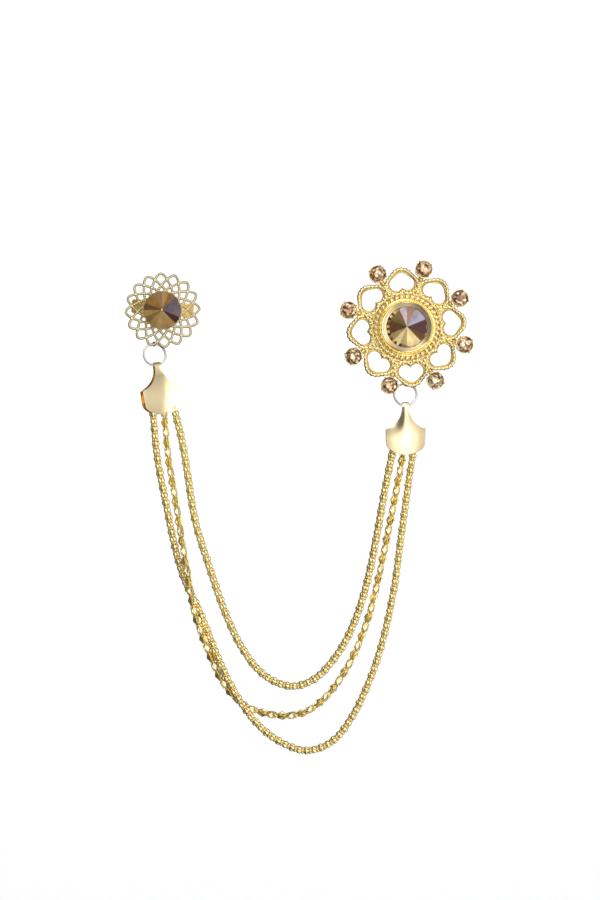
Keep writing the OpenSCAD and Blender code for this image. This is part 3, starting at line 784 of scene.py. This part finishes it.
def makeJumpRing(name, node, x, z, turned):
    path = [(x, y, 0) for x, y in circlePoints(ringRadius, 96)]
    ring = wireAlong(name, path, circlePoints(ringWire, 14))
    # the joint where the wire's two ends meet
    seam = ball(ringWire + 0.005, 12, 8, 'X')
    moved(seam, turn(-160) @ shift(ringRadius, 0, 0) @ spread(1, 0.16, 1))
    stand = ringFrame(x, z, turned) @ turn(90 - ringLean, 'X') @ shift(0, -ringRadius, 0)
    placedAs(name, [ring, seam], metre @ stand, ringSilver, [node])


endCap = {
    "length": 15.3, "width": 12.4, "neck": 2.2, "shoulder": 8.0, "corner": 3.5, "flare": 6.6, "taper": 0.15,
    "halfDepth": 2.4, "bulge": 30.0, "bulgeAt": 4.5, "bulgeAcross": 42.0, "blend": -3,
    "sheet": 0.4, "bevel": 0.09, "loop": 1.05, "bore": 0.58, "smallTilt": 9,
    "ribFoot": -10.5, "ribTop": -2, "ribWidth": 1.4, "ribSpread": 0.03,
    "largeRib": (0.45, 0.06), "smallRib": (0.04, 0.04),       # bend left and right of the neck's middle
}


def capHalfWidth(z):
    c = endCap
    flareX = c["neck"] / 2 + c["flare"]
    shoulder = c["shoulder"] - c["length"]
    flareZ = shoulder + math.sqrt(c["flare"] ** 2 - (flareX - c["width"] / 2) ** 2)
    if z > flareZ:
        return c["neck"] / 2
    if z > shoulder:
        return flareX - math.sqrt(c["flare"] ** 2 - (flareZ - z) ** 2)
    return c["width"] / 2 - c["taper"] * (shoulder - z) / (c["shoulder"] - c["corner"])


def capRib(x, z, bends):
    # how far the leaf falls back beside the rounded rib that runs down from the neck
    c = endCap
    t = min(1, max(0, (z - c["ribFoot"]) / (c["ribTop"] - c["ribFoot"])))
    width = c["ribWidth"] - c["ribSpread"] * z
    return bends[x > 0] * t * t * (3 - 2 * t) * width ** 2 * (1 - math.exp(-x ** 2 / (2 * width ** 2)))


def makeCapMaster(bends):
    c = endCap
    bpy.ops.object.select_all(action='DESELECT')
    bpy.ops.mesh.primitive_grid_add(x_subdivisions=28, y_subdivisions=64, size=2)
    leaf = bpy.context.object
    for vertex in leaf.data.vertices:
        across = math.sin(vertex.co.x * math.pi / 2)
        down = (1 - vertex.co.y) / 2
        foot = c["corner"] * (1 - math.sqrt(max(0, 1 - across ** 2))) - c["length"]
        z = down * foot
        x = across * capHalfWidth(z)
        drop = z - (c["bulgeAt"] - c["length"])
        y = c["bulge"] - c["halfDepth"] - math.sqrt(c["bulge"] ** 2 - x ** 2 - drop ** 2)
        if z > c["blend"]:       # the neck curves up to the front of the loop
            drop = c["blend"] - c["bulgeAt"] + c["length"]
            start = c["bulge"] - c["halfDepth"] - math.sqrt(c["bulge"] ** 2 - drop ** 2)
            y = (start + c["loop"]) * (z / c["blend"]) ** 2 - c["loop"] + x ** 2 / (2 * c["bulge"])
        y += capRib(x, z, bends) - x ** 2 / 2 * (1 / c["bulge"] - 1 / c["bulgeAcross"])
        vertex.co = (x, y + c["sheet"] / 2, z)
    editAll(leaf)
    bpy.ops.mesh.normals_make_consistent(inside=False)
    leaveEdit()
    leaf.data.materials.append(sheetGold)
    # the cut edges take the darker copy of the gold, as painted shade
    leaf.data.materials.append(shadedEdgeGold)
    applyModifier(leaf, 'SOLIDIFY', thickness=c["sheet"], offset=0, material_offset_rim=1)
    applyModifier(leaf, 'BEVEL', width=c["bevel"], segments=2, limit_method='ANGLE')
    back = copyOf(leaf, turn(180))
    half = c["neck"] / 2
    r, bore = c["loop"], c["bore"]
    loop = spunProfile("loop", [(bore, -half + 0.06), (bore + 0.06, -half), (r - 0.08, -half),
                                (r, -half + 0.08),
                                (r, half - 0.08), (r - 0.08, half), (bore + 0.06, half), (bore, half - 0.06)],
                       48, axis=(1, 0, 0))
    return joined("cap", [leaf, back, loop])


def makeEndCaps():
    large, small = makeCapMaster(endCap["largeRib"]), makeCapMaster(endCap["smallRib"])
    reach = 2 * ringRadius * math.sin(math.radians(ringLean))
    # the caps' edges carry the painted shade
    shadedRims = (shadedEdgeGold, lambda face: face.material_index == 1)
    hang = shift(largeRing[0], -eyeletDepth - reach, largeRing[1] - ringRise)
    placedAs("largeEndCap", [large], metre @ hang, sheetGold, ["large_end_cap"], band=shadedRims)
    hang = (ringFrame(smallMiddle[0] + smallRing[0], smallMiddle[1] + smallRing[1], smallTurn)
            @ turn(-ringLean, 'X') @ shift(0, 0, -ringRadius) @ turn(-endCap["smallTilt"], 'Y')
            @ shift(0, 0, -ringRadius) @ turn(ringLean, 'X'))
    placedAs("smallEndCap", [small], metre @ hang, sheetGold, ["small_end_cap"], band=shadedRims)


innerRoute = [(-73, -1.4, -23.5), (-72.2, -1.4, -27), (-70, -1.8, -36.4), (-68.4, -2.4, -46),
              (-66, -2.4, -60.5), (-61.5, -2.4, -75.3), (-56.5, -2.4, -89.5), (-51.5, -2.4, -100),
              (-45, -2.4, -108.2), (-37, -2.4, -112), (-29, -2.4, -110), (-21.5, -2.4, -102),
              (-16, -2.4, -91.3), (-12.2, -2.4, -79), (-9.3, -2.4, -65), (-7, -2.4, -52),
              (-4.6, -2.4, -40), (-4, -2.4, -36.5)]
middleRoute = [(-76, -2.4, -24), (-75.6, -2.4, -28), (-74.4, -2.4, -40.5), (-72.2, -2.4, -54),
               (-69.8, -3, -68.6), (-67.8, -4.2, -80), (-66, -3.8, -89.5), (-62, -2.4, -101),
               (-57.3, -1.6, -111), (-51.5, -1.2, -117.6), (-45, -1.8, -120.4), (-37.5, -2.4, -121.3),
               (-30.5, -2.4, -119.6), (-23.5, -2.4, -113.5), (-17, -2.4, -103.4), (-12.2, -2.4, -91.4),
               (-8.8, -2.4, -78.5), (-5.8, -2.4, -64), (-3, -2.4, -50), (-1.3, -2.4, -40.5),
               (-0.8, -2.4, -36)]
outerRoute = [(-79.6, -3.2, -23.5), (-79.1, -3.2, -27.5), (-77.8, -2.8, -41), (-75, -2.4, -56),
              (-72.2, -2.1, -69.5), (-69.2, -1.3, -79.5), (-65, -1.3, -88), (-61.6, -2.4, -96.5),
              (-57.6, -3.6, -106), (-52.6, -4, -115.6), (-47, -3.4, -123.3), (-40.3, -2.4, -129),
              (-31.5, -2.4, -132.2), (-23.4, -2.4, -129.4), (-17, -2.4, -121.6), (-11.3, -2.4, -109.7),
              (-7.2, -2.4, -97), (-3.8, -2.4, -81), (-1.8, -2.4, -66), (0.2, -2.4, -51.5),
              (1.8, -2.4, -40.5), (2.4, -2.4, -36.5)]


def linkFrames(route, pitch, first):
    # equal steps along a smooth curve through the route, each link turned 45 degrees to the last
    ends = [Vector(route[0])] + [Vector(p) for p in route] + [Vector(route[-1])]
    points = []
    for a, b, c, d in zip(ends, ends[1:], ends[2:], ends[3:]):
        for s in range(8):
            t = s / 8
            points.append(0.5 * (2 * b + (c - a) * t + (2 * a - 5 * b + 4 * c - d) * t * t
                                 + (3 * b - a - 3 * c + d) * t ** 3))
    points.append(Vector(route[-1]))
    steps = [(b - a).length for a, b in zip(points, points[1:])]
    total = sum(steps)
    count = math.floor(total / pitch)
    frames, i, passed = [], 0, 0.0
    for k in range(count):
        at = (total - (count - 1) * pitch) / 2 + k * pitch
        while i < len(steps) - 1 and passed + steps[i] <= at:
            passed += steps[i]
            i += 1
        along = (points[i + 1] - points[i]) / steps[i]
        place = points[i] + along * (at - passed)
        side = Vector((0, 1, 0)).cross(along).normalized()
        up = along.cross(side)
        facing = Matrix((side, up, along)).transposed().to_4x4()
        frames.append(shift(*place) @ facing @ turn((k + first) % 2 * 45))
    return frames


def shadeBy(item, shadeOf):
    # paints light and shade: keeps on each corner how bright its gold is, 0 (painted shade) in the hollows
    # and 1 on what stands out
    layer = item.data.color_attributes.new(name="paintedShading", type='FLOAT_COLOR', domain='CORNER')
    for face in item.data.polygons:
        for i in face.loop_indices:
            value = min(1, max(0, shadeOf(item.data.vertices[item.data.loops[i].vertex_index].co)))
            layer.data[i].color = (value, value, value, 1)


domeLink = {"dome": (0.66, 0.71, 0.84), "domeAt": 0.67, "cutAt": 0.45, "knob": 0.42, "knobAt": 0.70,
            "knobLift": 1.17, "core": 0.82, "hub": 0.45, "shadedAt": 0.72, "litAt": 1.22}


def makeDomeLink():
    # a cross of sheet with a dome on each arm, folded into a cage; small knobs are where the arms turn in
    d = domeLink
    dome = ball(1, 14, 8, 'X')
    moved(dome, shift(d["domeAt"]) @ spread(*d["dome"]))
    cutBy(dome, (d["cutAt"], 0, 0), (-1, 0, 0))
    knob = ball(d["knob"], 8, 6, 'X')
    arms = [dome] + [copyOf(knob, turn(side) @ shift(d["knobAt"], 0, d["knobLift"]))
                     for side in (0, 45)]
    thrownAway(knob)
    arm = joined("arm", arms)
    parts = [copyOf(arm, turn(90 * k)) for k in range(4)]
    thrownAway(arm)
    # a core in painted shade fills the cage's inside, so the paper doesn't show through
    c = d["core"]
    core = spunProfile("core", [(0, -1.28), (d["hub"], -1.28), (d["hub"], -1.1), (c * 0.9, -0.9), (c, -0.4),
                                (c, 0.4), (c * 0.9, 0.9), (0.6, 1.25), (0, 1.25)], 12, closed=False)
    link = joined("domeLink", parts + [core])
    shadedAt, litAt = d["shadedAt"], d["litAt"]      # distances from the link's axis over which the painted shade gives way to the bright tone
    shadeBy(link, lambda at: (math.hypot(at.x, at.y) - shadedAt) / (litAt - shadedAt))
    return link


diamondLink = {"halfLong": 1.55, "halfWide": 1.12, "at": 0.84, "rim": 0.17, "dish": 0.1, "lip": 0.05,
               "thick": 0.14, "bevel": 0.04, "foot": -1.75, "top": 1.72, "claw": 0.42}


def makeDiamondLink():
    # four rimmed diamonds folded into a lantern, with claws over the next link's hub
    d = diamondLink
    bpy.ops.object.select_all(action='DESELECT')
    bpy.ops.mesh.primitive_circle_add(vertices=4, radius=1, fill_type='NGON')
    plate = bpy.context.object
    moved(plate, spread(d["halfWide"], d["halfLong"], 1))
    editAll(plate)
    bpy.ops.mesh.inset(thickness=d["rim"], depth=d["dish"])
    bpy.ops.mesh.inset(thickness=d["lip"], depth=0)
    bpy.ops.mesh.inset(thickness=d["rim"], depth=-d["dish"])
    leaveEdit()
    applyModifier(plate, 'SOLIDIFY', thickness=d["thick"], offset=-1)
    applyModifier(plate, 'BEVEL', width=d["bevel"], segments=1, limit_method='ANGLE')
    # painted light: the plate's middle takes the bright tone as a painted highlight, its rim the deep one as
    # painted shade
    shadeBy(plate, lambda at: 2.4 * (1 - abs(at.x) / d["halfWide"] - abs(at.y) / d["halfLong"]))
    # stands the plate up beside the axis, its face outwards and its long way along the chain
    moved(plate, shift(d["at"] + 0.05, 0, 0) @ turn(90, 'Z') @ turn(90, 'X'))
    claw = bentStrip("claw", [(d["at"], 1.0, 0.5), (0.82, 1.45, 0.34), (0.66, d["top"] - 0.05, 0.3),
                              (d["claw"], d["top"], 0.3)], d["thick"])
    leg = bentStrip("leg", [(d["at"], -1.0, 0.5), (0.8, -1.35, 0.36), (0.5, d["foot"] + 0.08, 0.34),
                            (0.25, d["foot"], 0.34)], d["thick"])
    arm = joined("arm", [plate, claw, leg])
    parts = [copyOf(arm, turn(90 * k)) for k in range(4)]
    thrownAway(arm)
    core = spunProfile("core", [(0, -1.55), (0.5, -1.55), (0.7, -0.8), (0.7, 0.8), (0.5, 1.55), (0, 1.55)], 8,
                       closed=False)
    # the core is painted shade all over, a dark fill inside the lantern
    shadeBy(core, lambda at: 0)
    return joined("diamondLink", parts + [core])


def makeStrand(name, node, link, route, pitch, first=0, girth=1):
    # each link sits a little askew in the next, so that no two catch the light alike
    twist, lean = 5, 4
    random.seed(11)
    links = [copyOf(link, place @ turn(random.uniform(-twist, twist)) @ turn(random.uniform(-lean, lean), 'X')
                    @ turn(random.uniform(-lean, lean), 'Y') @ spread(girth, girth, 1))
             for place in linkFrames(route, pitch, first)]
    placedAs(name, links, metre, chainGold, [node], 50)


makeLargeRosette()
makeLargeStone()
makeRimStones()
makeSmallFiligree()
makeSmallStone()
makeBarPin("largeBarPin", "large_bar_pin", (0, 0))
makeBarPin("smallBarPin", "small_bar_pin", (smallMiddle[0], smallMiddle[1] + barPin["smallUp"]),
           barPin["smallSlant"])
makeJumpRing("largeJumpRing", "large_jump_ring", *largeRing, 0)
makeJumpRing("smallJumpRing", "small_jump_ring", smallMiddle[0] + smallRing[0], smallMiddle[1] + smallRing[1],
             smallTurn)
makeEndCaps()
domeMaster, diamondMaster = makeDomeLink(), makeDiamondLink()
makeStrand("innerStrand", "strand_inner", domeMaster, innerRoute, 2.22)
makeStrand("middleStrand", "strand_middle", diamondMaster, middleRoute, 3.125)
makeStrand("outerStrand", "strand_outer", domeMaster, outerRoute, 2.34, first=1, girth=0.97)
thrownAway(domeMaster, diamondMaster)


studio = {
    "backdropAt": 1.5, "floorAt": -0.45, "bend": 0.5, "halfWide": 2.6, "front": -2.6, "top": 2.2,
    "camera": (-0.0333, -0.7835, -0.0383), "lens": 100, "sensor": 36, "clip": (0.01, 20),
    "paper": 0.92, "paperGlow": 0.35, "paperRoughness": 0.9, "beyond": 0.95, "strength": 1.25,
    "aim": (-0.035, 0, -0.04),
    "lamps": [      # place, width and height, power
        ("topSoftbox", (-0.25, -0.45, 0.55), (0.5, 0.35), 1.2),
        ("rightSoftbox", (0.55, -0.35, 0.05), (0.25, 0.6), 0.5),
    ],
    "walls": {      # brightness of the room by direction, from -1 to 1 along each axis
        "X": [(-1, 0.25), (-0.7, 0.22), (-0.45, 0.16), (-0.34, 0.24), (-0.24, 0.6), (-0.12, 1.05),
              (-0.02, 1.5), (0.06, 1.9), (0.14, 1.3), (0.2, 0.95), (0.27, 0.6), (0.55, 0.6),
              (0.63, 1.9), (0.8, 1.7), (0.92, 0.8), (1, 0.3)],
        "Y": [(-1, 1), (-0.3, 0.9), (0, 0.5), (0.4, 0.25), (1, 0.3)],
        "Z": [(-1, 0.4), (-0.75, 0.65), (-0.4, 0.7), (-0.2, 0.86), (0.0, 1), (0.15, 1), (0.35, 0.78),
              (0.6, 0.55), (0.8, 0.45), (1, 0.4)],
    },
}


def makeBackdrop():
    # one seamless sheet of pale paper, a floor that bends up behind the object
    s = studio
    bendMiddle = (s["backdropAt"] - s["bend"], s["floorAt"] + s["bend"])
    profile = [(s["front"], s["floorAt"]), *arcPoints(bendMiddle, s["bend"], -90, 0, 12),
               (s["backdropAt"], s["top"])]
    paper = outlineMesh("backdrop", [(-s["halfWide"], y, z) for y, z in profile], closed=False)
    editAll(paper)
    bpy.ops.mesh.extrude_region_move(TRANSFORM_OT_translate={"value": (2 * s["halfWide"], 0, 0)})
    bpy.ops.mesh.normals_make_consistent(inside=True)
    bpy.ops.mesh.faces_shade_smooth()
    leaveEdit()
    material, _, shader = newMaterial("palePaper")
    setInputs(shader, {'Base Color': (*[s["paper"]] * 3, 1), 'Roughness': s["paperRoughness"],
                       'Emission Color': (1, 1, 1, 1), 'Emission Strength': s["paperGlow"]})
    paper.data.materials.append(material)
    paper.visible_glossy = False      # the metal mirrors the studio's walls instead


def addSoftLight(name, place, size, power):
    lamp = bpy.data.lights.new(name, 'AREA')
    lamp.shape = 'RECTANGLE'
    lamp.size, lamp.size_y = size
    lamp.energy = power
    item = bpy.data.objects.new(name, lamp)
    intoScene(item)
    item.location = place
    item.rotation_euler = (Vector(studio["aim"]) - Vector(place)).to_track_quat('-Z', 'Y').to_euler()


def makeWorld():
    # a room with a bright front wall between dark cards, dim at the back, for polished gold to mirror
    world = bpy.data.worlds.new("studio")
    bpy.context.scene.world = world
    world.use_nodes = True
    tree = world.node_tree
    link = tree.links.new
    background = tree.nodes['Background']
    place = addNode(tree, 'ShaderNodeTexCoord')
    apart = addNode(tree, 'ShaderNodeSeparateXYZ')
    link(place.outputs['Generated'], apart.inputs['Vector'])
    light = None
    for axis, stops in studio["walls"].items():
        along = addNode(tree, 'ShaderNodeMapRange')
        along.inputs['From Min'].default_value = -1.0
        link(apart.outputs[axis], along.inputs['Value'])
        wall = addNode(tree, 'ShaderNodeValToRGB')
        rampStops(wall, [((at + 1) / 2, (level, level, level)) for at, level in stops])
        link(along.outputs['Result'], wall.inputs['Fac'])
        if light:
            both = addNode(tree, 'ShaderNodeMath', operation='MULTIPLY')
            link(light, both.inputs[0])
            link(wall.outputs['Color'], both.inputs[1])
            light = both.outputs['Value']
        else:
            light = wall.outputs['Color']
    gain = addNode(tree, 'ShaderNodeMath', operation='MULTIPLY')
    gain.inputs[1].default_value = studio["strength"]
    link(light, gain.inputs[0])
    seen = addNode(tree, 'ShaderNodeLightPath')
    choice = addNode(tree, 'ShaderNodeMix', data_type='RGBA')
    choice.inputs[7].default_value = (*[studio["beyond"]] * 3, 1)      # what shows past the paper's edge
    link(seen.outputs['Is Camera Ray'], choice.inputs['Factor'])
    link(gain.outputs['Value'], choice.inputs[6])
    link(choice.outputs[2], background.inputs['Color'])


makeBackdrop()
makeWorld()
for lampSettings in studio["lamps"]:
    addSoftLight(*lampSettings)

camera = bpy.data.cameras.new("camera")
camera.lens = studio["lens"]
camera.sensor_width = studio["sensor"]
cameraItem = bpy.data.objects.new("camera", camera)
intoScene(cameraItem)
cameraItem.location = studio["camera"]
cameraItem.rotation_euler = (math.radians(90), 0, 0)
camera.clip_start, camera.clip_end = studio["clip"]
bpy.context.scene.camera = cameraItem
bpy.context.scene.view_settings.view_transform = 'Standard'
print("stage ready")
